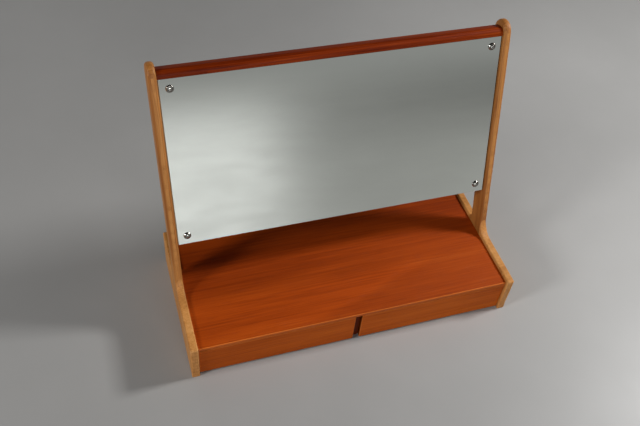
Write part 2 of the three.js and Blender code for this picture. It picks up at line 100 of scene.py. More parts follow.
# %% [markdown]
# ## Light
#
# The shadows in the photograph tell of three soft lights: one low at the left, a stronger one at
# the right, and a low one in front that fills the shadow under the glass. Area lamps give such
# soft edges. A weak fourth lamp behind keeps the back readable, and isn't seen in gloss. Each is
# given by the direction to it, its distance, its width and height, and its level, where a level
# of 1 shows a white wall facing the lamp as white. The power for that is pi squared times the
# distance squared.

# %% Lamps
LAMPS = {
    "left_lamp": ((-0.87, -0.22, 0.47), 4.0, 0.8, 0.8, 0.47),
    "right_lamp": ((0.78, -0.04, 0.62), 2.4, 0.38, 0.38, 0.78),
    "front_lamp": ((-0.005, -0.95, 0.29), 5.0, 2.0, 0.9, 0.27),
    "rear_lamp": ((-0.20, 0.96, 0.21), 4.0, 1.2, 1.2, 0.09),
}
LOOK_AT = Vector((0, 0, 0.1))    # the middle of the case


def add_lamp(name, direction, distance, width, height, level):
    """Soft lamp of a width and height that looks at the case."""
    light = bpy.data.lights.new(name, "AREA")
    light.shape, light.size, light.size_y = "RECTANGLE", width, height
    light.energy = level * math.pi ** 2 * distance ** 2
    lamp = add(name, light)
    towards = Vector(direction).normalized()
    lamp.location = towards * distance + LOOK_AT
    lamp.rotation_euler = towards.to_track_quat("Z", "Y").to_euler()
    print(name, round(light.energy, 1), "W")
    return lamp


lamps = {name: add_lamp(name, *facts) for name, facts in LAMPS.items()}
lamps["rear_lamp"].visible_glossy = False

# %% [markdown]
# ## Writing a finish
#
# A finish is a small calculation that runs at every point of a surface. It could be drawn as boxes
# and wires. Here it is written as sums: `Value` wraps an output, and its operators add the Math
# nodes. `Wiring` makes every other node in a tree, and `Finish` is the wiring of one material.

# %% Values that add nodes
class Value:
    """An output in a finish's node tree. Arithmetic on it adds Math nodes."""

    def __init__(self, finish, output):
        self.finish, self.output = finish, output

    def math(self, operation, *others, swap=False):
        values = (*others, self) if swap else (self, *others)
        return self.finish.node("Math", {"operation": operation}, values)

    def __add__(self, other): return self.math("ADD", other)
    def __sub__(self, other): return self.math("SUBTRACT", other)
    def __rsub__(self, other): return self.math("SUBTRACT", other, swap=True)
    def __mul__(self, other): return self.math("MULTIPLY", other)
    def __truediv__(self, other): return self.math("DIVIDE", other)
    def __pow__(self, other): return self.math("POWER", other)
    def __abs__(self): return self.math("ABSOLUTE")
    __radd__, __rmul__ = __add__, __mul__

    def lower(self, other): return self.math("MINIMUM", other)
    def higher(self, other): return self.math("MAXIMUM", other)


# %% Nodes, colours and materials
def srgb(red, green, blue, level=1.0):
    """Colour of a paint chart, 0 to 255 a channel, times a level, as linear RGBA."""
    share = np.array([red, green, blue]) * level / 255
    linear = np.where(share <= 0.04045, share / 12.92, ((share + 0.055) / 1.055) ** 2.4)
    return (*linear.tolist(), 1.0)


class Wiring:
    """A node tree, and the calls that add nodes to it."""

    def __init__(self, tree):
        self.tree = tree

    def node(self, kind, settings=None, values=(), output=None):
        """Adds a node: its settings first, then values or links by place or by name."""
        made = self.tree.nodes.new("ShaderNode" + kind)
        for key, setting in (settings or {}).items():
            if key == "stops":
                ramp = made.color_ramp
                while len(ramp.elements) < len(setting):
                    ramp.elements.new(0.5)
                for element, (place, colour) in zip(ramp.elements, setting):
                    element.position, element.color = place, colour
            else:
                setattr(made, key, setting)
        sockets = [s for s in made.inputs if s.enabled]
        for key, value in values.items() if isinstance(values, dict) else enumerate(values):
            socket = (sockets[key] if isinstance(key, int)
                      else next(s for s in sockets if s.name == key))
            if isinstance(value, Value):
                self.tree.links.new(value.output, socket)
            else:
                socket.default_value = value
        outputs = [s for s in made.outputs if s.enabled]
        return Value(self, next((s for s in outputs if s.name == output), outputs[0]))

    def step(self, value, low, high, to_low=0.0, to_high=1.0):
        """Rises smoothly from to_low to to_high as value goes from low to high."""
        return self.node("MapRange", {"interpolation_type": "SMOOTHSTEP"}, {
            "Value": value, "From Min": low, "From Max": high,
            "To Min": to_low, "To Max": to_high})

    def blend(self, share, first, second):
        """Colour between first and second."""
        return self.node("Mix", {"data_type": "RGBA"},
                         {"Factor": share, "A": first, "B": second})

    def vector(self, operation, *values, output=None):
        """Result of Vector Math, such as a sum, a product or a length."""
        return self.node("VectorMath", {"operation": operation}, values, output)

    def parts(self, vector):
        """The three numbers of a vector."""
        return [self.node("SeparateXYZ", {}, [vector], axis) for axis in "XYZ"]

    def noise(self, place, scale, detail=2.0, roughness=0.5):
        """Soft random value about 0.5, the same for points much less than 1 / scale apart.

        The scale is a number, or a vector with one scale for each direction.
        """
        if isinstance(scale, tuple):
            place, scale = self.vector("MULTIPLY", place, scale), 1.0
        return self.node("TexNoise", {}, {
            "Vector": place, "Scale": scale, "Detail": detail, "Roughness": roughness}, "Fac")


class Finish(Wiring):
    """One material, its shader and what feeds it."""

    def __init__(self, name, **constants):
        self.material = bpy.data.materials.new(name)
        self.material.use_nodes = True
        super().__init__(self.material.node_tree)
        self.shader = self.tree.nodes["Principled BSDF"]
        for socket, value in constants.items():
            self.shader.inputs[socket.replace("_", " ")].default_value = value

    def feed(self, **links):
        """Links values to the shader's own sockets."""
        for socket, value in links.items():
            self.tree.links.new(value.output, self.shader.inputs[socket.replace("_", " ")])

    def relief(self, height, depth, strength=1.0):
        """Feeds the normal from a height that is a share of depth, in metres."""
        bump = self.node("Bump", {}, {
            "Height": height, "Distance": depth, "Strength": strength})
        self.feed(Normal=bump)


# %% [markdown]
# ## The floor and the background
#
# A studio floor of pale grey paint carries the piece. It could curve up at the back, but one flat
# sheet is enough. It is slightly glossy, so the low front lamp lightens the floor that the mirror
# shows. Far away it fades into a plain background, which only the camera and reflections see, so
# that it puts no light on the wood. The wood's fill is a little light from everywhere.

# %% What only the camera and reflections see
BACKGROUND = srgb(150, 150, 149)
OVERHEAD = 0.12    # the background's level above, of its level all round
FILL = 0.015    # level of the light from everywhere


def seen(finish):
    """1 for camera rays and reflections, 0 for the light that falls on things."""
    path = [finish.node("LightPath", output=ray)
            for ray in ("Is Camera Ray", "Is Glossy Ray", "Is Transmission Ray")]
    return path[0].higher(path[1]).higher(path[2])


# %% Floor
FLOOR_SIZE = 30.0
FLOOR_PAINT, WORN_PAINT = srgb(157, 156, 154), srgb(172, 171, 169)
FADE = 1.9, 4.6    # from and to these distances it fades away

floor_mesh = bpy.data.meshes.new("floor")
floor_mesh.from_pydata([(x * FLOOR_SIZE / 2, y * FLOOR_SIZE / 2, 0) for x, y in (
    (-1, -1), (1, -1), (1, 1), (-1, 1))], [], [(0, 1, 2, 3)])
floor = add("floor", floor_mesh)
paint = Finish("floor_paint")
where = paint.node("TexCoord", output="Object")
clouds = paint.noise(where, 2.3, 5.0, 0.6)
worn = paint.noise(where, 5.0, 6.0, 0.62)
paint.feed(Base_Color=paint.blend(clouds, FLOOR_PAINT, WORN_PAINT),
           Roughness=paint.step(worn, 0.3, 0.7, 0.40, 0.46))
away = paint.vector("LENGTH", where, output="Value")
glow = paint.node("Emission", {}, {"Color": BACKGROUND})
mixed = paint.node("MixShader", {}, [
    paint.step(away, *FADE) * seen(paint), Value(paint, paint.shader.outputs[0]), glow])
paint.tree.links.new(mixed.output, paint.tree.nodes["Material Output"].inputs["Surface"])
floor_mesh.materials.append(paint.material)

# %% Background and fill
world = bpy.data.worlds.new("studio")
world.use_nodes = True
sky = Wiring(world.node_tree)
share = seen(sky)
height = sky.parts(sky.node("TexCoord", output="Generated"))[2]
dimmed = sky.step(height, 0.25, 0.75, 1.0, OVERHEAD)
for socket, value in (("Color", sky.blend(share, (1, 1, 1, 1), BACKGROUND)),
                      ("Strength", share * (dimmed - FILL) + FILL)):
    sky.tree.links.new(value.output, sky.tree.nodes["Background"].inputs[socket])
bpy.context.scene.world = world
print("floor", FLOOR_SIZE, "m square, fill", FILL)

# %% [markdown]
# ## Where a board lies
#
# Every finish of wood needs to know where its board is and which way its fibres run. A UV map
# could say so. Here the CAD node tells it: its vertices are measured along the grain, across it
# and through the thickness, and the finish reads the board's middle, its turn and half its size.
# The post leans, so its own two directions are written down as well.

# %% Measure a board along its own directions
class Placed:
    """A board's middle, its turn, and its half sizes and centre along grain, width, thickness."""

    def __init__(self, node, grain=(1, 0, 0), width=(0, 1, 0)):
        self.grain = grain
        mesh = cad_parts[node].data
        points = np.empty(len(mesh.vertices) * 3)
        mesh.vertices.foreach_get("co", points)
        axes = np.array([grain, width, np.cross(grain, width)], float)
        along = points.reshape(-1, 3) @ axes.T
        low, high = along.min(0), along.max(0)
        self.half, self.centre = ((high - low) / 2).tolist(), ((low + high) / 2).tolist()
        self.middle = ((low + high) / 2) @ axes
        self.turn = Matrix(axes.T.tolist()).to_euler()


LEAN = math.radians(16)    # of the posts, the rail and the glass
POST_DEPTH, POST_LENGTH = 43 * MM, 484 * MM
UP_POST = (0, math.sin(LEAN), math.cos(LEAN))
BEHIND_POST = (0, math.cos(LEAN), -math.sin(LEAN))
ALONG_X, ALONG_Y, ALONG_Z = (1, 0, 0), (0, 1, 0), (0, 0, 1)
FRONT_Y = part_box("left_side_board")[0].y
POST_FOOT = (FRONT_Y + 148 * MM, 97 * MM)    # where the post's front line meets the base's top


def on_post(up, behind):
    """Y and Z of a point up the post and behind its front line."""
    return (POST_FOOT[0] + up * math.sin(LEAN) + behind * math.cos(LEAN),
            POST_FOOT[1] + up * math.cos(LEAN) - behind * math.sin(LEAN))


print("post foot", [round(v, 4) for v in POST_FOOT],
      "crown", [round(v, 4) for v in on_post(POST_LENGTH, POST_DEPTH / 2)])

# %% [markdown]
# ## Wood
#
# Teak, oak, beech and plywood differ in colour and figure but are built alike. A scanned picture
# shows its seams, so one function works them all out. Growth rings are cylinders about a far-off
# pith, bent by slow noise. Fibres are noise drawn out along the grain, and pores are its darkest
# threads. The arrises are paler, partly worn where hands have rubbed them and partly a painted
# highlight: on a face one distance to the board's sides is nothing, so the middle one of the three
# is the distance to the nearest arris. End grain drinks more oil and is darker.

# %% Parts of the wood figure
def board_place(finish, board, shift):
    """Place from the board's middle, x along the grain, and the same moved by a shift."""
    here = finish.node("TexCoord", output="Object")
    local = finish.node("Mapping", {"vector_type": "TEXTURE"}, {
        "Vector": here, "Location": tuple(board.middle), "Rotation": tuple(board.turn)})
    return local, finish.vector("ADD", local, tuple(shift))


def arris_wear_and_highlight(finish, local, half, reach):
    """Wear and painted highlight: 1 at the board's arrises, falling to 0 at the distance reach."""
    x, y, z = [size - abs(part) for size, part in zip(half, finish.parts(local))]
    middle = x.lower(y).higher(x.higher(y).lower(z))
    return finish.step(middle, 0.0, reach, 1.0, 0.0)


def growth_rings(finish, moved, ring, sway, pith):
    """0 to 1 across each ring: what is left over of the distance from the pith, in rings."""
    slow = finish.noise(moved, SLOW)
    x, y, z = finish.parts(moved)
    span_y, span_z = y + pith[0], z + pith[1]
    radius = (span_y * span_y + span_z * span_z) ** 0.5
    rings = radius / ring + slow * sway
    return rings.math("FRACT")


# %% The look of each wood
# Scales of the noise, per metre, along the grain and across it.
SLOW, CLOUDS, BANDS = (1.1, 5.0, 5.0), (2.2, 16.0, 16.0), (5.0, 170.0, 170.0)
FIBRES, THREADS = (9.0, 520.0, 520.0), (28.0, 1900.0, 1900.0)
# dark, mid and light are colours, and the fourth is the arrises' colour: worn, with a painted
# highlight. ring, sway and pith are the rings' width, bend and middle. late to pores say how
# strongly those show, gloss is the roughness between fibres and sheen the reflection.
LOOK = "dark mid light rub ring sway pith late band fibre pores gloss sheen".split()
WOODS = {name: dict(zip(LOOK, facts)) for name, *facts in (
    ("teak", (122, 42, 2), (162, 65, 9), (190, 92, 26), (222, 128, 52),
     5.5 * MM, 9.0, (0.06, 0.10), 0.16, 0.34, 0.5, 0.6, 0.40, 0.14),
    ("front_teak", (142, 56, 4), (184, 85, 14), (209, 115, 36), (214, 128, 64),
     5.5 * MM, 7.0, (0.05, 0.12), 0.2, 0.3, 0.6, 0.6, 0.42, 0.08),
    ("edge_teak", (84, 20, 1), (128, 44, 3), (168, 78, 16), (170, 84, 30),
     3.0 * MM, 7.0, (0.05, 0.04), 0.40, 0.7, 0.75, 0.7, 0.36, 0.08),
    ("oak", (140, 82, 32), (193, 131, 67), (219, 165, 103), (229, 183, 126),
     3.2 * MM, 6.0, (0.05, 0.07), 0.4, 0.5, 0.5, 0.65, 0.44, 0.28),
    ("beech", (196, 152, 108), (214, 176, 134), (226, 194, 154), (228, 198, 160),
     4.0 * MM, 5.0, (0.06, 0.05), 0.2, 0.2, 0.45, 0.3, 0.58, 0.3),
    ("ply", (186, 148, 104), (208, 174, 130), (222, 192, 150), (220, 190, 150),
     7.0 * MM, 12.0, (0.02, 0.02), 0.25, 0.2, 0.5, 0.25, 0.62, 0.3))}
print("woods:", ", ".join(WOODS))

# %% [markdown]
# Two boards have more to show. The side boards are glued up from staves, narrow boards side by
# side, each with its own place in the log and its own tone. The case top has a lipping, a thin
# paler strip that covers a veneered board's front edge, and towards the rear, under the glass, it
# is painted darker as shade. Staves and lipping could be materials of their own, but a change of
# tone is enough. Where a face cuts across the fibres the relief is weaker, because the noise shows
# there as grains.

# %% Staves, lipping and painted shade
STAVE = 50 * MM
LIPPING, LIPPING_TONE = 1.5 * MM, 0.36
# The top darkens towards the rear: a painted shade under the glass.
SHADED_TONE, SHADE_FROM, SHADE_TO = -0.15, 100 * MM, 185 * MM    # behind the front edge


def staves(finish, local, moved, line):
    """The moved place with each stave in a place of its own, and a tone for each.

    A stave's number is the distance from the line over its width, rounded down. Number 0, the
    post, is darker. The other tones are random.
    """
    widths = (finish.parts(local)[1] - line) / STAVE
    number = widths.math("FLOOR")
    apart = finish.node("CombineXYZ", {}, [number * 0.71, number * 0.43, 0.0])
    own = finish.node("TexWhiteNoise", {"noise_dimensions": "1D"}, [number + 4.3],
                      "Value")
    post = number.math("COMPARE", 0.0, 0.5)
    return finish.vector("ADD", moved, apart), (own - 0.5) * 0.16 - post * 0.2


def lipped_and_painted_shade(finish, local, board):
    """Tone to add: more at the front edge, where the lipping is, and painted shade at the rear."""
    from_front = finish.parts(local)[1] + board.half[1]
    return (finish.step(from_front, LIPPING, LIPPING + 0.3 * MM, LIPPING_TONE, 0.0)
            + finish.step(from_front, SHADE_FROM, SHADE_TO, 0.0, SHADED_TONE))


# %% One function for every wood
ACROSS = 0.25    # relief where a face crosses the grain, of that along it


def wood(kind, board, wear_and_highlight_reach=1.6 * MM, stave_line=None, figure=None, lipping=False):
    """Finish of one board. Boards that were one board pass on the same figure, a place in a log.

    The tone picks a colour between dark, middle and light. It is the sum of clouds, bands and
    fibres, less a share of the late wood.
    """
    look = WOODS[kind]
    finish = Finish(kind, Specular_IOR_Level=look["sheen"])
    local, moved = board_place(finish, board, rng.uniform(-3, 3, 3) if figure is None else figure)
    stave = 0.0
    if stave_line is not None:
        moved, stave = staves(finish, local, moved, stave_line)
    late = growth_rings(finish, moved, look["ring"], look["sway"], look["pith"]) ** 3.0
    fibre = finish.noise(moved, FIBRES, 4.0, 0.6)
    pore = finish.step(finish.noise(moved, THREADS), 0.60, 0.70)
    cloud = finish.noise(moved, CLOUDS, 3.0)
    band = finish.noise(moved, BANDS, 3.0, 0.55)
    tone = cloud * 0.7 + (band - 0.5) * look["band"] + (fibre - 0.5) * look["fibre"] + (
        0.12 - late * look["late"] * 0.4) + stave
    # The lipping's paler strip, and painted shade at the rear of the top.
    if lipping:
        tone = tone + lipped_and_painted_shade(finish, local, board)
    colour = finish.node("ValToRGB", {"stops": [
        (0.12, srgb(*look["dark"])), (0.5, srgb(*look["mid"])), (0.88, srgb(*look["light"]))]},
        [tone], "Color")
    colour = finish.blend(pore * (0.55 * look["pores"]), colour, srgb(*look["dark"], 0.6))
    if stave_line is None:
        from_end = board.half[0] - abs(finish.parts(local)[0])
        colour = finish.blend(finish.step(from_end, 0.2 * MM, 1.3 * MM, 0.6, 0.0), colour,
                              srgb(*look["dark"], 0.5))
    # Paler arrises, partly wear and partly a painted highlight.
    wear_and_highlight = arris_wear_and_highlight(finish, local, board.half, wear_and_highlight_reach)
    colour = finish.blend(wear_and_highlight * (stave * 1.3 + 0.6), colour, srgb(*look["rub"]))
    finish.feed(Base_Color=colour, Roughness=look["gloss"] + fibre * 0.16 - wear_and_highlight * 0.08)
    facing = finish.node("NewGeometry", output="Normal")
    across = abs(finish.vector("DOT_PRODUCT", facing, board.grain, output="Value"))
    finish.relief((fibre * 0.5 - pore * 0.8 - late * 0.2)
                  * finish.step(across, 0.05, 0.3, 1.0, ACROSS), 0.12 * MM, 0.8)
    return finish


# %% [markdown]
# ## Surfaces of boards
#
# A board with softened arrises could be a box with a bevel, but the side boards are cut to a
# curved outline, so all boards are made one way: an outline with rounded corners, carried through
# the thickness. Near each face the outline steps inwards along a quarter circle, which makes the
# arris.

# %% A rounded outline
ROUNDING = 0.01    # keeps a count the same where a length or an angle divides evenly


def outline_of(corners, spacing=20 * MM, arc=math.radians(9)):
    """Closed outline through corners (a, b, radius), walked anticlockwise.

    At a corner an arc touches both edges at the radius divided by the tangent of half the angle.
    An arc's outward normal points away from its centre, or towards it in a hollow corner, and a
    straight run's normal is its direction turned to the right. Returns points and normals.
    """
    place, radius = np.array(corners, float)[:, :2], np.array(corners, float)[:, 2:]
    unit = lambda v: v / np.linalg.norm(v, axis=1, keepdims=True)
    back, on = unit(np.roll(place, 1, 0) - place), unit(np.roll(place, -1, 0) - place)
    half = np.arccos((back * on).sum(1, keepdims=True)) / 2
    start, end = place + back * radius / np.tan(half), place + on * radius / np.tan(half)
    centre = place + unit(back + on) * radius / np.sin(half)
    hollow = back[:, 0] * on[:, 1] - back[:, 1] * on[:, 0] > 0
    points, normals = [], []
    for i in range(len(corners)):
        first, last = (math.atan2(*(p[i] - centre[i])[::-1]) for p in (start, end))
        sweep = (last - first + math.pi) % math.tau - math.pi
        angle = first + sweep * np.linspace(0, 1, 1 + math.ceil(abs(sweep) / arc - ROUNDING))
        ray = np.column_stack([np.cos(angle), np.sin(angle)])
        run = start[(i + 1) % len(corners)] - end[i]
        share = np.linspace(0, 1, 2 + int(np.linalg.norm(run) / spacing + ROUNDING))[1:-1, None]
        points += [centre[i] + radius[i] * ray, end[i] + share * run]
        normals += [-ray if hollow[i] else ray, np.tile([on[i, 1], -on[i, 0]], (len(share), 1))]
    return np.vstack(points), np.vstack(normals)


def rectangle(a0, b0, a1, b1, *radii, **fineness):
    """Outline of a rectangle, its corners rounded alike or each by a radius of its own."""
    corners = (a0, b0), (a1, b0), (a1, b1), (a0, b1)
    radii = radii * 4 if len(radii) == 1 else radii
    return outline_of([(*corner, radius) for corner, radius in zip(corners, radii)], **fineness)


# %% From an outline to a board
def along_x(a, b, c):
    """Outline in (y, z), thickness along x."""
    return np.stack([c, a, b], -1)


def along_z(a, b, c):
    """Outline in (x, y), thickness along z."""
    return np.stack([a, b, c], -1)


def along_y(a, b, c):
    """Outline in (z, x), thickness along y."""
    return np.stack([b, c, a], -1)


def lean_x(a, b, c):
    """Outline in (behind the post's line, up it), thickness along x."""
    y, z = on_post(b, a)
    return np.stack([c, y, z], -1)


def lean_behind(a, b, c):
    """Outline in (up the post, x), thickness behind its line."""
    y, z = on_post(a, c)
    return np.stack([b, y, z], -1)


def shell(grid, wrap=False):
    """Vertices and faces of a grid closed round its first direction.

    A face joins each point to the next one round, both again one step along, so it looks outwards
    when the rows run anticlockwise. The two end rings become flat caps, or join if wrap is true.
    """
    round_count, along_count = grid.shape[:2]
    index = np.arange(round_count * along_count).reshape(round_count, along_count)
    if wrap:
        index = np.hstack([index, index[:, :1]])
    after = np.roll(index, -1, 0)
    quads = np.stack([index[:, :-1], after[:, :-1], after[:, 1:], index[:, 1:]], -1).reshape(-1, 4)
    caps = [] if wrap else [index[::-1, 0].tolist(), index[:, -1].tolist()]
    return grid.reshape(-1, 3), quads.tolist() + caps


def board_grid(outline, low, high, radius, place, steps=7):
    """Board between two faces with arrises of a radius, one for all or one for each point.

    Over a quarter turn t the surface is radius (1 - cos t) in from the face and the outline steps
    inwards by radius (1 - sin t). A last row on each flat, at 1.15 radii, keeps its shading true.
    """
    points, normals = outline
    radius = np.broadcast_to(radius, len(points))[:, None]
    turn = np.linspace(0, math.pi / 2, steps + 1)
    rise, inset = radius * (1 - np.cos(turn)), radius * (1 - np.sin(turn))
    across = np.hstack([0 * radius, rise, 1.15 * radius])
    inset = np.hstack([1.15 * radius, inset, 0 * radius])
    across = np.hstack([low + across, high - across[:, ::-1]])
    inset = np.hstack([inset, inset[:, ::-1]])
    flat = points[:, None] - normals[:, None] * inset[..., None]
    return place(flat[..., 0], flat[..., 1], across)


# %% From a mesh to a piece
SHARP = math.radians(32)    # edges that turn by more than this stay sharp


def shade(mesh):
    """Smooth shading, except at the sharp edges."""
    mesh.shade_smooth()
    mesh.set_sharp_from_angle(angle=SHARP)


def make(name, vertices, faces):
    """Object of a mesh."""
    mesh = bpy.data.meshes.new(name)
    mesh.from_pydata(vertices, [], faces)
    shade(mesh)
    return add(name, mesh)


def make_board(name, *board):
    """Object of a board whose facts are those of board_grid."""
    return make(name, *shell(board_grid(*board)))


# %% [markdown]
# ## Joints
#
# On the real mirror the holes are drilled, the grooves ploughed and the sockets chopped. They
# could be drawn into each board's mesh by hand. Here each is a closed shape, a tool, and an exact
# Boolean takes it out of the board.

# %% Tools that cut
def prism_tool(corners, low, high, place=along_z):
    """Shape with four corners (a, b), from low to high."""
    a, b = (np.column_stack([side, side]) for side in np.array(corners).T)
    return shell(place(a, b, np.tile([low, high], (4, 1))))


def box_tool(low, high, place=along_z):
    """Block between two corners of a place's three directions."""
    (a0, b0, c0), (a1, b1, c1) = low, high
    return prism_tool([(a0, b0), (a1, b0), (a1, b1), (a0, b1)], c0, c1, place)


def turned(profile, a, b, place, sides):
    """Grid of a profile of (radius, height) rows carried round an axis at (a, b)."""
    radius, height = np.array(profile).T
    angle = np.linspace(0, math.tau, sides, endpoint=False)[:, None]
    return place(a + radius * np.cos(angle), b + radius * np.sin(angle), height + 0 * angle)


def turned_tool(profile, a, b, place=along_z, sides=48):
    """Surface turned about (a, b) from (radius, height) rows."""
    return shell(turned(profile, a, b, place, sides))


def rod_tool(radius, a, b, low, high, place=along_z):
    """Round bar about (a, b) from low to high."""
    return turned_tool([(radius, low), (radius, high)], a, b, place, 32)


def carve(piece, tools):
    """Takes the tools' shapes out of the piece and keeps the result as its mesh."""
    cutters = [make("cutter", *tool) for tool in tools]
    for cutter in cutters:
        cut = piece.modifiers.new("cut", "BOOLEAN")
        cut.object, cut.operation, cut.solver = cutter, "DIFFERENCE", "EXACT"
    bpy.context.view_layer.update()
    whole = piece.evaluated_get(bpy.context.evaluated_depsgraph_get())
    mesh = bpy.data.meshes.new_from_object(whole)
    assert len(mesh.polygons) > 6, f"nothing is left of {piece.name}"
    piece.modifiers.clear()
    piece.data = mesh
    shade(mesh)
    for cutter in cutters:
        bpy.data.meshes.remove(cutter.data)


def dress(piece, finish, body, slot, *nodes):
    """Gives a finished piece its material, its body and the nodes that it stands for."""
    piece.data.materials.clear()
    piece.data.materials.append(finish.material)
    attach(piece, body)
    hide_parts(*nodes)
    triangles = sum(len(face.vertices) - 2 for face in piece.data.polygons)
    print(f"{piece.name}: {triangles} triangles")


# %% [markdown]
# ## The two side boards
#
# Each side board is one shape of oak: a low base and a post that leans back, with a hollow curve
# where the post rises. The boards were rounded over by hand, so the arris is wide above and small
# at the foot, and its width wanders a little. It was glued up from staves that run the post's
# way, which shows as a change of tone along the post's front line.

# %% The outline of a side board
BASE_DEPTH, BASE_HEIGHT = 310, 97 * MM    # the depth in millimetres, for case_y
ARRIS_HEIGHTS = np.array([3, 20, 100, 130, 520, 548]) * MM
ARRISES = np.array([1.0, 3.1, 3.1, 4.4, 4.4, 6.4]) * MM


def case_y(y):
    """Y of a distance in millimetres behind the side boards' front edges."""
    return FRONT_Y + y * MM


crown = POST_DEPTH / 2 - 0.01 * MM
side_outline = outline_of([
    (case_y(0), 0, 2 * MM), (case_y(BASE_DEPTH), 0, 2 * MM),
    (case_y(BASE_DEPTH), BASE_HEIGHT, 4 * MM),
    (POST_FOOT[0] + POST_DEPTH / math.cos(LEAN), BASE_HEIGHT, 8 * MM),
    (*on_post(POST_LENGTH, POST_DEPTH), crown), (*on_post(POST_LENGTH, 0), crown),
    (*POST_FOOT, 37 * MM), (case_y(0), BASE_HEIGHT, 4 * MM)], spacing=6 * MM, arc=math.radians(5))


def hand_rounding(outline):
    """Arris radius at each point: straight lines between the heights, wandering a few percent."""
    y, z = outline[0].T
    radius = np.interp(z, ARRIS_HEIGHTS, ARRISES)
    return radius * (1 + 0.05 * np.sin(z * 61 + y * 23) + 0.03 * np.sin(z * 137 - y * 90))


print("outline of a side board:", len(side_outline[0]), "points")

# %% Dowels and grooves
DOWEL_HOLE, DOWEL_IN_SIDE = 2.8 * MM, 10.3 * MM    # radius, and depth in a side board
TOP_DOWELS = [(case_y(y), 86 * MM) for y in (40, 120, 250)]
RAIL_DOWELS = [on_post(463.3 * MM, behind * MM) for behind in (14, 23)]
BACKING_DOWELS = [on_post(up * MM, 18.3 * MM) for up in (160, 400)]
# Grooves, by two corners of their section: millimetres behind the front edges, and up.
BOTTOM_GROOVE, BACK_GROOVE = ((21.7, 6.7), (298.5, 13.3)), ((297.7, 6.7), (304.3, 82))


def inward(sign, face, depth):
    """From a depth in the board to just outside its inner face."""
    return sorted((face + sign * depth, face - sign * MM))


def groove_tool(section, across):
    """Groove of a section, between two places across the case."""
    (front, foot), (rear, top) = section
    return box_tool((case_y(front), foot * MM, across[0]), (case_y(rear), top * MM, across[1]),
                    along_x)


def side_tools(sign, face):
    """Dowel holes, and the grooves for the bottom board and the back board."""
    hole, groove = inward(sign, face, DOWEL_IN_SIDE), inward(sign, face, 4 * MM)
    return [rod_tool(DOWEL_HOLE, y, z, *hole, along_x)
            for y, z in TOP_DOWELS + RAIL_DOWELS + BACKING_DOWELS] + [
        groove_tool(section, groove) for section in (BOTTOM_GROOVE, BACK_GROOVE)]


# %% Side boards
def oak_in_staves(node):
    """Oak whose staves run up the post, the post itself from its front line."""
    board = Placed(node, UP_POST, BEHIND_POST)
    line = POST_FOOT[0] * BEHIND_POST[1] + POST_FOOT[1] * BEHIND_POST[2]
    return wood("oak", board, 2.6 * MM, line - board.centre[1])


for side, sign in (("left", -1), ("right", 1)):
    low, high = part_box(f"{side}_side_board")
    piece = make_board(f"{side}_side_oak", side_outline, low.x, high.x,
                       hand_rounding(side_outline), along_x)
    carve(piece, side_tools(sign, high.x if sign < 0 else low.x))
    dress(piece, oak_in_staves(f"{side}_side_board"), "case", "oak", f"{side}_side_board")

# %% [markdown]
# ## The case
#
# The top is a thin board of teak, whose softened front arris catches the light. Below it are the
# divider between the drawers, the bottom and back boards of plywood, and a small block behind
# each drawer that stops it. Each could be written out, but they are plain boards, so one function
# makes them from the CAD node's box, and only the joints differ. The divider is notched over the
# bottom board, so it has an outline of its own.

# %% Plain boards
def plain_board(name, node, arris, place=along_z, order=(0, 1, 2), tools=(), front_arris=None):
    """Board of a CAD node's box. order says which of x, y, z are the place's three directions."""
    low, high = (np.array(corner)[list(order)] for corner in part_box(node))
    outline = rectangle(*low[:2], *high[:2], 1.3 * max(arris, front_arris or 0))
    faces_front = outline[1][:, 1] < -0.5
    radius = np.where(faces_front, front_arris or arris, arris)
    piece = make_board(name, outline, low[2], high[2], radius, place, 5)
    if tools:
        carve(piece, tools)
    return piece


# %% Case top
DIVIDER_DOWELS = [case_y(y) for y in (80, 180, 280)]
DOWEL_IN_END = 18.3 * MM
INNER_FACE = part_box("right_side_board")[0].x


def end_holes(places):
    """Dowel holes in both ends of a board that reaches from one side board to the other."""
    return [rod_tool(DOWEL_HOLE, y, z, *sorted((sign * (INNER_FACE + MM),
                                                sign * (INNER_FACE - DOWEL_IN_END))), along_x)
            for y, z in places for sign in (-1, 1)]


top = plain_board(
    "top_teak", "top_board", 0.6 * MM, front_arris=1.1 * MM,
    tools=end_holes(TOP_DOWELS) + [
        rod_tool(DOWEL_HOLE, 0, y, 81 * MM, 87.3 * MM) for y in DIVIDER_DOWELS])
# Lipping at the front, and painted shade towards the rear.
dress(top, wood("teak", Placed("top_board"), lipping=True), "case", "teak", "top_board")

# %% Divider
DIVIDER_X = 6.5 * MM    # half its thickness
SCREW_PLACES = [case_y(y) for y in (60, 160, 260)]
SCREW_HOLE = 2.2 * MM
divider_outline = outline_of([(case_y(y), z * MM, 1.1 * MM) for y, z in (
    (14.5, 1.5), (21.7, 1.5), (21.7, 13.3), (297.7, 13.3), (297.7, 81.7), (14.5, 81.7))])
divider = make_board("divider_teak", divider_outline, -DIVIDER_X, DIVIDER_X, 0.8 * MM, along_x, 5)
carve(divider, [rod_tool(DOWEL_HOLE, 0, y, 63.7 * MM, 83 * MM) for y in DIVIDER_DOWELS] + [
    rod_tool(SCREW_HOLE, 0, y, 12 * MM, 31.3 * MM) for y in SCREW_PLACES])
dress(divider, wood("edge_teak", Placed("centre_divider", ALONG_Y, ALONG_Z)), "case", "teak_edge",
      "centre_divider")

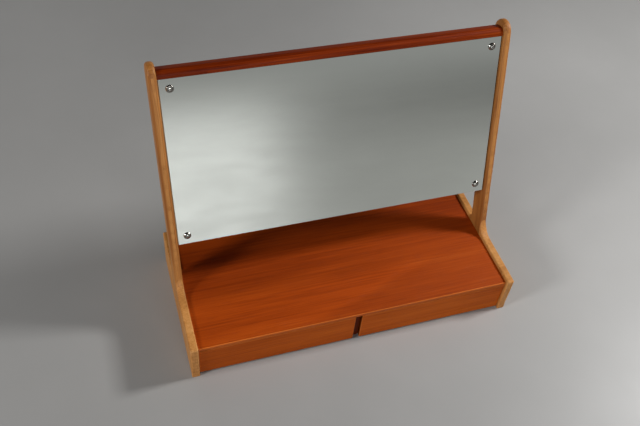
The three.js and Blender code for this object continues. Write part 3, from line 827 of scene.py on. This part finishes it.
# %% Bottom, back and stops
COUNTERSINK = [(4.6 * MM, 6 * MM), (4.6 * MM, 7.15 * MM), (SCREW_HOLE, 9.55 * MM),
               (SCREW_HOLE, 14 * MM)]
countersinks = [turned_tool(COUNTERSINK, 0, y) for y in SCREW_PLACES]
bottom = plain_board("bottom_ply", "bottom_board", 0.4 * MM, tools=countersinks)
dress(bottom, wood("ply", Placed("bottom_board")), "case", "plywood", "bottom_board")
back = plain_board("back_ply", "back_board", 0.4 * MM, along_y, (2, 0, 1))
dress(back, wood("ply", Placed("back_board", ALONG_X, ALONG_Z)), "case", "plywood", "back_board")
for side in ("left", "right"):
    stop = plain_board(f"{side}_stop_beech", f"{side}_drawer_stop", 0.8 * MM)
    dress(stop, wood("beech", Placed(f"{side}_drawer_stop")), "case", "beech",
          f"{side}_drawer_stop")

# %% [markdown]
# ## The drawers
#
# A teak front is joined to beech sides by two dovetails at each end, and a thin bottom slides in
# grooves. A plain butt joint would look the same while the drawer is shut, but the tails and
# their sockets show when it is pulled out, so they are real shapes. The fronts were cut from one
# board: its figure runs on from the left one to the right.

# %% Dovetails
# All in millimetres, behind the front edges or up from the floor.
FRONT_FACE, FRONT_REAR, TAIL_TIP, TAIL_ROOT, SIDE_REAR = 6, 21, 11, 21.3, 285
SIDE_FOOT, SIDE_TOP, PANEL_TOP = 13.3, 72, 21.3
PLAY = 0.3    # the socket's, all round the tail
pitch = (SIDE_TOP - PANEL_TOP) / 2
TAILS = [PANEL_TOP + 0.5 * pitch, PANEL_TOP + 1.5 * pitch]


def tail_width(y):
    """Half width of a tail at a distance behind the front edges: 0.32 of the pitch at its tip."""
    return pitch * np.interp(y, (TAIL_TIP, FRONT_REAR + 1), (0.32, 0.22))


def socket_tool(middle, low, high):
    """The tail's shape, larger by the play all round, as a tool."""
    near, far = TAIL_TIP - PLAY, FRONT_REAR + 1
    tip, root = (tail_width(y) + PLAY for y in (near, far))
    corners = [(near, middle - tip), (far, middle - root), (far, middle + root),
               (near, middle + tip)]
    return prism_tool([(case_y(y), z * MM) for y, z in corners], low, high, along_x)


print("dovetails at", [round(t, 1) for t in TAILS], "mm above the floor")

# %% Drawer sides
PANEL_GROOVE = 17, 21.6    # from and to these heights, in millimetres
GROOVE_DEPTH, HOUSING_DEPTH = 4.5 * MM, 3 * MM


def drawer_side(name, node, groove_at_high):
    """Side with two tails on its front end, a groove for the bottom and a housing for the back."""
    low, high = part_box(node)
    corners = [(TAIL_ROOT, SIDE_FOOT), (SIDE_REAR, SIDE_FOOT), (SIDE_REAR, SIDE_TOP),
               (TAIL_ROOT, SIDE_TOP)]
    tip, root = tail_width(TAIL_TIP), tail_width(TAIL_ROOT)
    for middle in TAILS[::-1]:
        corners += [(TAIL_ROOT, middle + root), (TAIL_TIP, middle + tip),
                    (TAIL_TIP, middle - tip), (TAIL_ROOT, middle - root)]
    outline = outline_of([(case_y(y), z * MM, 0.55 * MM) for y, z in corners])
    piece = make_board(name, outline, low.x, high.x, 0.4 * MM, along_x, 4)
    face, sign = (high.x, -1) if groove_at_high else (low.x, 1)
    groove, housing = inward(sign, face, GROOVE_DEPTH), inward(sign, face, HOUSING_DEPTH)
    carve(piece, [
        groove_tool(((9, PANEL_GROOVE[0]), (SIDE_REAR + 2, PANEL_GROOVE[1])), groove),
        groove_tool(((269.7, PANEL_TOP), (279.3, SIDE_TOP + 1)), housing)])
    return piece


# %% Drawer fronts
def drawer_front(name, node, sign, sides):
    """Front with a rounded inner end, sockets for the tails and a groove for the bottom."""
    low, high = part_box(node)
    near, far = case_y(FRONT_FACE), case_y(FRONT_REAR)
    round_end, small = 1.6 * MM, 1.0 * MM
    first, last = (small, round_end) if sign < 0 else (round_end, small)
    outline = rectangle(low.x, near, high.x, far, first, last, small, small, arc=math.radians(6))
    piece = make_board(name, outline, low.z, high.z, 0.8 * MM, along_z, 5)
    tools = [socket_tool(middle, box[0].x - PLAY * MM, box[1].x + PLAY * MM)
             for box in sides for middle in TAILS]
    inside = sorted(box[k].x for box in sides for k in (0, 1))[1:3]
    foot, top = (height * MM for height in PANEL_GROOVE)
    carve(piece, tools + [box_tool((inside[0] - GROOVE_DEPTH, case_y(16.5), foot),
                                   (inside[1] + GROOVE_DEPTH, case_y(FRONT_REAR + 1), top))])
    return piece


# %% Both drawers
front_figure = rng.uniform(-3, 3, 3)
for side, sign in (("left", -1), ("right", 1)):
    node = lambda part: f"{side}_drawer_{part}"
    body = f"{side}_drawer"
    sides = [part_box(node("inner_side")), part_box(node("outer_side"))]
    front = drawer_front(f"{side}_front_teak", node("front"), sign, sides)
    board = Placed(node("front"), ALONG_X, ALONG_Z)
    teak = wood("front_teak", board, figure=front_figure + (board.middle[0], 0, 0))
    dress(front, teak, body, "teak", node("front"))
    for part, at_high in (("inner_side", sign > 0), ("outer_side", sign < 0)):
        board = drawer_side(f"{side}_{part}_beech", node(part), at_high)
        dress(board, wood("beech", Placed(node(part), ALONG_Y, ALONG_Z)), body, "beech",
              node(part))
    rear = plain_board(f"{side}_back_beech", node("back"), 0.5 * MM, along_y, (2, 0, 1))
    dress(rear, wood("beech", Placed(node("back"), ALONG_X, ALONG_Z)), body, "beech", node("back"))
    panel = plain_board(f"{side}_bottom_ply", node("bottom"), 0.3 * MM)
    dress(panel, wood("ply", Placed(node("bottom"))), body, "plywood", node("bottom"))

# %% [markdown]
# ## Rail and backing board
#
# A rail of darker teak closes the frame above the glass. Its upper front edge is a generous
# round, and below that a flat band faces the viewer. Behind the glass a plywood board takes the
# screws. Both could be made level and then tilted, but a piece stays unturned, so their outlines
# are laid out in the leaning directions.

# %% Rail
RAIL_FRONT, RAIL_REAR, RAIL_FOOT, RAIL_TOP = 5 * MM, 29 * MM, 456.3 * MM, 472.3 * MM
FREE_X = INNER_FACE - 0.3 * MM    # half the length of a board between the posts
rail_outline = rectangle(RAIL_FRONT, RAIL_FOOT, RAIL_REAR, RAIL_TOP,
                         1.5 * MM, 1.5 * MM, 1.5 * MM, 11 * MM, arc=math.radians(4.5))
rail = make_board("rail_teak", rail_outline, -FREE_X, FREE_X, 0.6 * MM, lean_x, 4)
carve(rail, end_holes(RAIL_DOWELS))
dress(rail, wood("edge_teak", Placed("top_rail", ALONG_X, UP_POST)), "case", "teak", "top_rail")

# %% Backing board, with the places of the glass and its screws
BACKING_FOOT, BACKING_FRONT, BACKING_REAR = 109 * MM, 12.3 * MM, 24.3 * MM
GLASS_X, GLASS_FOOT, GLASS_TOP = 332.5 * MM, 106 * MM, 456 * MM
SCREW_IN = 19 * MM    # from the glass's edges
SCREW_X, LOW, HIGH = GLASS_X - SCREW_IN, GLASS_FOOT + SCREW_IN, GLASS_TOP - SCREW_IN
# A side, a height up the post, and the turn of the slot in degrees.
SCREWS = {"top_left": (-1, HIGH, 15), "top_right": (1, HIGH, -24),
          "bottom_left": (-1, LOW, 4), "bottom_right": (1, LOW, 40)}


def screw_holes(radius, low, high):
    """Holes for the four screws between two distances behind the post's front line."""
    return [rod_tool(radius, up, sign * SCREW_X, low, high, lean_behind)
            for sign, up, degrees in SCREWS.values()]


backing = make_board("backing_ply", rectangle(BACKING_FOOT, -FREE_X, GLASS_TOP, FREE_X, 0.8 * MM),
                     BACKING_FRONT, BACKING_REAR, 0.5 * MM, lean_behind, 4)
carve(backing, end_holes(BACKING_DOWELS) + screw_holes(SCREW_HOLE, 11 * MM, 23 * MM))
dress(backing, wood("ply", Placed("mirror_backing", ALONG_X, UP_POST)), "case", "plywood",
      "mirror_backing")

# %% [markdown]
# ## The looking glass
#
# A sheet of silvered glass is 5 mm thick, with ground and polished edges. Light meets the silver
# through the glass, which tints it a little green, so a metal of that tint shows the same. The
# ground edge isn't silvered: there the finish turns to pale, dull green glass.

# %% Glass
GLASS_SETBACK, GLASS_THICKNESS, GLASS_HOLE = 7 * MM, 5 * MM, 2.9 * MM
glass_outline = rectangle(GLASS_FOOT, -GLASS_X, GLASS_TOP, GLASS_X, 1.5 * MM)
glass = make_board("looking_glass", glass_outline, GLASS_SETBACK,
                   GLASS_SETBACK + GLASS_THICKNESS, 0.7 * MM, lean_behind, 4)
carve(glass, screw_holes(GLASS_HOLE, 6 * MM, 13 * MM))


def silvered_glass(board):
    """Mirror metal on the two faces, and ground greenish glass round the rim."""
    finish = Finish("mirror", Specular_IOR_Level=0.5)
    local, moved = board_place(finish, board, (0.3, 0.1, 0))
    from_middle, half = abs(finish.parts(local)[2]), board.half[2]
    rim = finish.step(from_middle, half - 0.15 * MM, half - 0.5 * MM)
    haze = finish.noise(moved, 9.0, 4.0, 0.6)
    smear = finish.noise(moved, (14.0, 60.0, 1.0), 3.0)
    silver = finish.blend(haze, srgb(222, 226, 220), srgb(228, 232, 227))
    finish.feed(Base_Color=finish.blend(rim, silver, srgb(176, 190, 178)),
                Metallic=1 - rim * 0.7, Roughness=0.012 + smear * 0.02 + rim * 0.3)
    return finish


dress(glass, silvered_glass(Placed("mirror_glass", ALONG_X, UP_POST)), "case", "mirror_glass",
      "mirror_glass")

# %% [markdown]
# ## What the glass does to the light
#
# The glass throws the right lamp's light down onto the top, up to a slanting edge. Cycles could
# follow such light, but blurs it and takes long. So a second lamp stands where the right one's
# mirror image is, and its nodes let light out only towards the glass, as if that were a window.
# Its light falls on the top and the left side board, and what stands between them and it doesn't
# shade them. The lamps themselves aren't to show in the glass.

# %% The light that the glass throws
THROWN_SHARE = 0.52    # of the right lamp's level
THROWN_EDGE = 0.005    # half the softness of the window's edge, in radians


def linked(lamp, kind, pieces, state="INCLUDE"):
    """Has only some pieces, or all but them, be lit by the lamp or shade its light."""
    group = bpy.data.collections.new(f"{lamp.name}_{kind}")
    for piece in pieces:
        group.objects.link(piece)
    for entry in group.collection_objects:
        entry.light_linking.link_state = state
    setattr(lamp.light_linking, f"{kind}_collection", group)


corners = [Vector(lean_behind(up, x, GLASS_SETBACK)) for up, x in (
    (GLASS_FOOT, -GLASS_X), (GLASS_FOOT, GLASS_X), (GLASS_TOP, GLASS_X), (GLASS_TOP, -GLASS_X))]
square_to_glass = Vector((0, -math.cos(LEAN), math.sin(LEAN)))
real = lamps["right_lamp"].location
image = real - 2 * (real - corners[0]).dot(square_to_glass) * square_to_glass
thrown_light = bpy.data.lights.new("thrown_light", "POINT")
thrown_light.shadow_soft_size = 0
thrown_light.energy = (4 * math.pi ** 2 * THROWN_SHARE * LAMPS["right_lamp"][-1]
                       * (real - LOOK_AT).length_squared)
thrown_light.use_nodes = True
window = Wiring(thrown_light.node_tree)
ray = window.node("TexCoord", output="Normal")
inside = 1.0
for here, beyond in zip(corners, corners[1:] + corners[:1]):
    edge = (here - image).cross(beyond - image).normalized()
    beside = window.vector("DOT_PRODUCT", ray, edge, output="Value")
    inside = window.step(beside, -THROWN_EDGE, THROWN_EDGE) * inside
window.tree.links.new(inside.output, window.tree.nodes["Emission"].inputs["Strength"])
thrown = add("thrown_light", thrown_light)
thrown.location = image
thrown.visible_glossy = False
lit_by_it = [top, bpy.data.objects["left_side_oak"]]
linked(thrown, "receiver", lit_by_it)
linked(thrown, "blocker", lit_by_it)
for name in ("front_lamp", "left_lamp", "right_lamp"):
    linked(lamps[name], "receiver", [glass], "EXCLUDE")
print("the right lamp's image is at", [round(v, 2) for v in image])

# %% [markdown]
# ## Screws and cup washers
#
# Four slotted screws with raised heads hold the glass, each in a cup washer whose rolled lip
# stands round the head. A Screw modifier could turn them, but the function that made the round
# tools does it too. The washer's section is a closed outline, carried round like a ring, and the
# screw is one profile from its point to its crown. Three plainer ones hold the divider.

# %% Washers
WASHER_SEAT = 6.7 * MM    # behind the post's front line, just clear of the glass


def from_glass(a, b, c):
    """a along x, b up the post and c out from the washers' seat, towards the viewer."""
    y, z = on_post(b, WASHER_SEAT - c)
    return np.stack([a, y, z], -1)


WASHER = outline_of([(r * MM, h * MM, e * MM) for r, h, e in (
    (2.3, 0, 0.1), (7.5, 0, 0.12), (7.4, 0.8, 0.3), (5.9, 2.6, 0.75), (4.6, 2.6, 0.4),
    (2.3, 0.7, 0.2))], spacing=0.6 * MM, arc=math.radians(12))[0]
# Radii between which the painted shade in the washer's hollow begins and ends.
RECESS_SHADE_IN, RECESS_SHADE_OUT = (3.4 * MM, 4.3 * MM), (4.9 * MM, 5.6 * MM)


def metal(name, colour, gloss, scratch, board=None):
    """Bright metal with fine scratches and duller patches.

    Round a board's middle, painted shade lies in a ring between the head and the washer's lip.
    """
    finish = Finish(name, Metallic=1.0)
    here = finish.node("TexCoord", output="Object")
    line = finish.noise(here, (900.0, 5200.0, 5200.0))
    dull = finish.step(finish.noise(here, 420.0, 3.0), 0.5, 0.75)
    tint = finish.blend(dull * 0.5, srgb(*colour), srgb(*colour, 0.72))
    rough = gloss + dull * 0.14 + line * scratch
    if board:
        x, y, z = finish.parts(board_place(finish, board, (0, 0, 0))[0])
        radius = (x * x + y * y) ** 0.5
        # Painted shade: a dark ring in the hollow round the head, rougher too.
        recess_shade = finish.step(radius, *RECESS_SHADE_IN) * finish.step(radius, *RECESS_SHADE_OUT, 1.0, 0.0)
        tint = finish.blend(recess_shade * 0.85, tint, srgb(34, 31, 27))
        rough = rough + recess_shade * 0.4
    finish.feed(Base_Color=tint, Roughness=rough)
    finish.relief(line, 0.01 * MM, 0.4)
    return finish


for name, (sign, up, degrees) in SCREWS.items():
    ring = turned(WASHER, sign * SCREW_X, up, from_glass, 72)
    washer = make(f"washer_{name}", *shell(ring, wrap=True))
    seat = Placed(f"cup_washer_{name}", ALONG_X, UP_POST)
    chrome = metal("chrome", (150, 148, 142), 0.10, 0.06, seat)
    dress(washer, chrome, "case", "chromed_metal", f"cup_washer_{name}")

# %% Profiles of the screws
HEAD, SEAT, CROWN, SHANK, POINT = 4.3 * MM, 2.275 * MM, 1.4 * MM, 1.9 * MM, 0.2 * MM
UNDERSIDE = 7 * MM    # of the bottom board
dome = np.linspace(0, math.radians(87), 14)
MIRROR_SCREW = [(POINT, -16 * MM), (SHANK, -13 * MM), (SHANK, 0.9 * MM),
                (HEAD - 0.1 * MM, SEAT - 0.1 * MM),
                *zip(HEAD * np.cos(dome), SEAT + CROWN * np.sin(dome))]
CASE_SCREW = [(radius, UNDERSIDE + height) for radius, height in (
    (HEAD, 0), (HEAD, 0.1 * MM), (SHANK, 2.5 * MM), (SHANK, 21 * MM), (POINT, 24 * MM))]


def slot_tool(a, b, turn, low, high, place):
    """Narrow block across a head, turned about its middle."""
    along, across = (np.array([math.cos(turn), math.sin(turn)]) * 6 * MM,
                     np.array([-math.sin(turn), math.cos(turn)]) * 0.5 * MM)
    corners = np.array([a, b]) + [-along - across, along - across, along + across,
                                  across - along]
    return prism_tool(corners, low, high, place)


# %% Screws
SCREW_METAL = 176, 174, 168
for name, (sign, up, degrees) in SCREWS.items():
    place = sign * SCREW_X, up
    screw = make(f"screw_{name}", *turned_tool(MIRROR_SCREW, *place, from_glass, 64))
    carve(screw, [slot_tool(*place, math.radians(degrees), SEAT + 0.3 * MM, 5 * MM,
                            from_glass)])
    seat = Placed(f"cup_washer_{name}", ALONG_X, UP_POST)
    dress(screw, metal("chrome", SCREW_METAL, 0.12, 0.06, seat), "case", "chromed_metal",
          f"mirror_screw_{name}")
for i, y in enumerate(SCREW_PLACES):
    screw = make(f"case_screw_{i + 1}", *turned_tool(CASE_SCREW, 0, y))
    carve(screw, [slot_tool(0, y, 0.6 + i, 6 * MM, UNDERSIDE + 1.1 * MM, along_z)])
    dress(screw, metal("steel", SCREW_METAL, 0.28, 0.1), "case", "steel",
          f"divider_screw_{i + 1}")

# %% [markdown]
# ## Dowels
#
# The dowels are hidden in their holes. They could be turned anew, but their CAD nodes have the
# right shape, so they stay and only get the beech finish.

# %% Beech on the dowels
for name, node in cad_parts.items():
    if "_dowel_" in name:
        grain = ALONG_Z if name.startswith("divider") else ALONG_X
        finish = wood("beech", Placed(name, grain, ALONG_Y))
        node.data.materials.clear()
        node.data.materials.append(finish.material)
